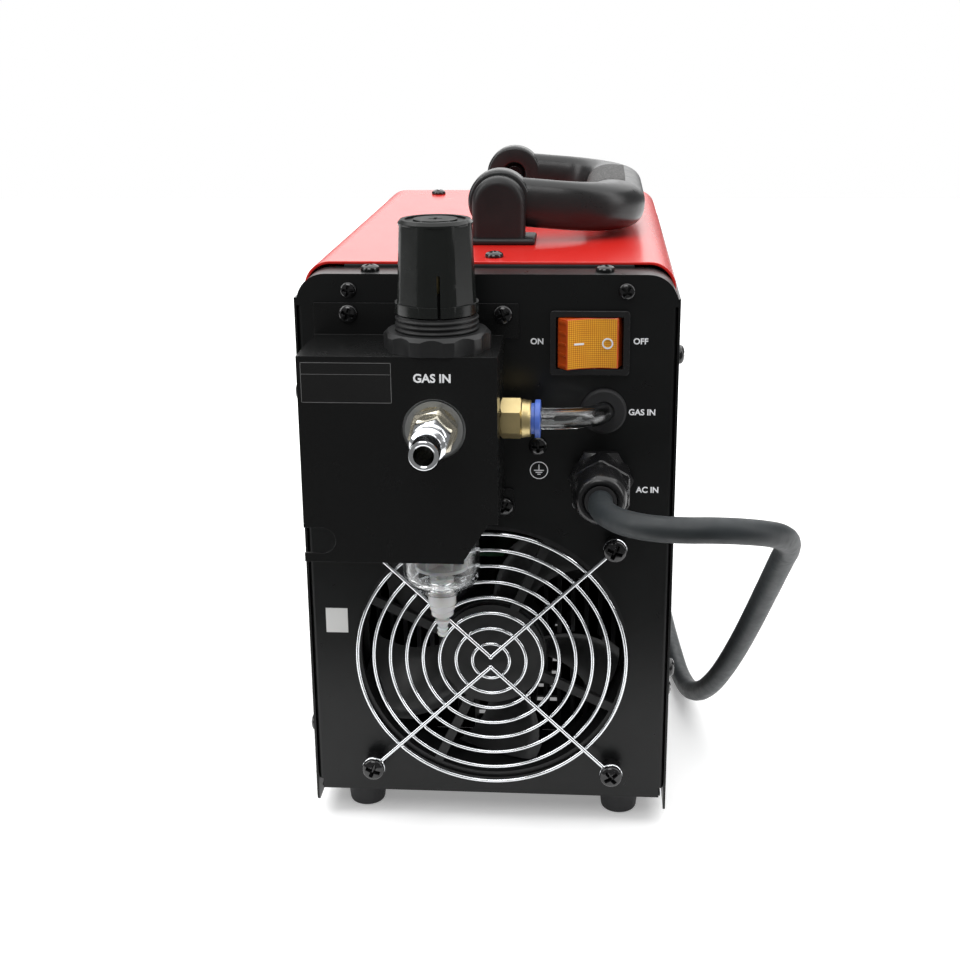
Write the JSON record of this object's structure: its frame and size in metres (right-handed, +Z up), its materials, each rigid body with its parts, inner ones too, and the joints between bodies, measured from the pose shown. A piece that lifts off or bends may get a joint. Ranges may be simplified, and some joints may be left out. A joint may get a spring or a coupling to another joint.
{
  "type": "inverter plasma cutter",
  "caption": "Compact plasma cutting power unit: red top cover, black case, folding handle, rear fan with wire guard, air regulator with bowl, power rocker, cable gland and mains lead.",
  "frame": {"origin": "on the floor under the centre of the unit, taken without the mains lead", "axes": "+Z up, +Y from the rear panel to the front panel, +X to the right as one looks at the rear panel"},
  "size_m": [0.2288, 0.5278, 0.282],
  "materials": {
    "black_paint": "semi-gloss powder coat",
    "red_paint": "gloss enamel",
    "black_plastic": "fine grained",
    "gloss_black_plastic": "moulded semi-gloss",
    "black_rubber": "matte",
    "cord_rubber": "matte sheath",
    "black_screws": "black zinc",
    "bright_wire": "bright plated",
    "plunger_steel": "ground",
    "cast_alloy": "die cast",
    "brass_bright": "machined",
    "clear_bowl": "clear polycarbonate",
    "clear_tube": "clear polyurethane",
    "white_plastic": "translucent white",
    "blue_plastic": "moulded",
    "amber_plastic": "translucent amber",
    "board_green": "solder mask",
    "device_black": "epoxy",
    "copper_wire": "enamelled copper"
  },
  "bodies": {
    "case": {"tray": "black_paint", "rear_panel": "black_paint", "front_panel": "black_paint", "front_bezel": "black_plastic", "top_cover": "red_paint", "side_panel_left": "black_paint", "side_panel_right": "black_paint", "cover_seals": "black_rubber", "feet": "black_rubber", "handle_pedestals": "black_plastic", "pivot_screws": "bright_wire", "regulator_bracket": "black_paint", "regulator_body": "cast_alloy", "regulator_collar": "black_plastic", "ring_nut": "black_plastic", "bowl": "clear_bowl", "filter_element": "white_plastic", "baffle": "white_plastic", "drain_body": "white_plastic", "inlet_bushing": "brass_bright", "inlet_plug": "bright_wire", "tube_fitting": "brass_bright", "air_tube": "clear_tube", "tube_grommet": "black_rubber", "solenoid_valve": "cast_alloy", "switch_body": "gloss_black_plastic", "gland_body": "gloss_black_plastic", "gland_nut": "gloss_black_plastic", "gland_seal": "black_rubber", "fan_frame": "black_plastic", "fan_guard": "bright_wire", "guard_spacers": "gloss_black_plastic", "fan_screws": "black_screws", "bracket_screws": "black_screws", "corner_screws": "black_screws", "case_screws": "black_screws", "heatsinks": "cast_alloy", "power_devices": "device_black", "main_board": "board_green", "capacitors": "device_black", "transformer_core": "device_black", "transformer_winding": "copper_wire", "work_socket": "gloss_black_plastic", "torch_connector": "brass_bright", "potentiometer": "device_black", "cord_tube": "cord_rubber", "cord_coil": "cord_rubber", "plug_body": "cord_rubber", "plug_pins": "bright_wire"},
    "handle": {"handle": "black_plastic", "grip_pad": "black_rubber"},
    "rocker": {"rocker": "amber_plastic"},
    "spindle": {"adjusting_screw": "brass_bright"},
    "knob": {"regulator_knob": "gloss_black_plastic"},
    "impeller": {"fan_impeller": "black_plastic"},
    "collet": {"tube_collet": "blue_plastic"},
    "drain": {"drain_nipple": "white_plastic"},
    "dial": {"current_dial": "gloss_black_plastic", "dial_shaft": "bright_wire"},
    "plunger": {"solenoid_plunger": "plunger_steel"}
  },
  "joints": [
    {"name": "handle_swing", "type": "hinge", "parent": "case", "child": "handle", "pos_m": [0.001, 0.026, 0.268], "axis": [0, -1, 0], "range_deg": [0, 189]},
    {"name": "power_rocker", "type": "hinge", "parent": "case", "child": "rocker", "pos_m": [0.0422, -0.1095, 0.2205], "axis": [0, 0, -1], "range_deg": [0, 20]},
    {"name": "pressure_turn", "type": "hinge", "parent": "case", "child": "spindle", "pos_m": [-0.0173, -0.1341, 0.245], "axis": [0, 0, 1], "range_deg": [-720, 720]},
    {"name": "knob_lift", "type": "slide", "parent": "spindle", "child": "knob", "axis": [0, 0, 1], "range_m": [0, 0.003]},
    {"name": "fan_spin", "type": "hinge", "parent": "case", "child": "impeller", "pos_m": [0.0015, -0.0975, 0.0812], "axis": [0, -1, 0], "continuous": true},
    {"name": "collet_push", "type": "slide", "parent": "case", "child": "collet", "axis": [-1, 0, 0], "range_m": [0, 0.0012]},
    {"name": "drain_push", "type": "slide", "parent": "case", "child": "drain", "axis": [0, 0, 1], "range_m": [0, 0.0018], "stiffness_N_per_m": 300, "springref_m": -0.002},
    {"name": "current_turn", "type": "hinge", "parent": "case", "child": "dial", "pos_m": [0, 0.1585, 0.15], "axis": [0, 1, 0], "range_deg": [-150, 150]},
    {"name": "valve_lift", "type": "slide", "parent": "case", "child": "plunger", "axis": [0, 0, 1], "range_m": [0, 0.002], "stiffness_N_per_m": 300, "springref_m": -0.002}
  ]
}
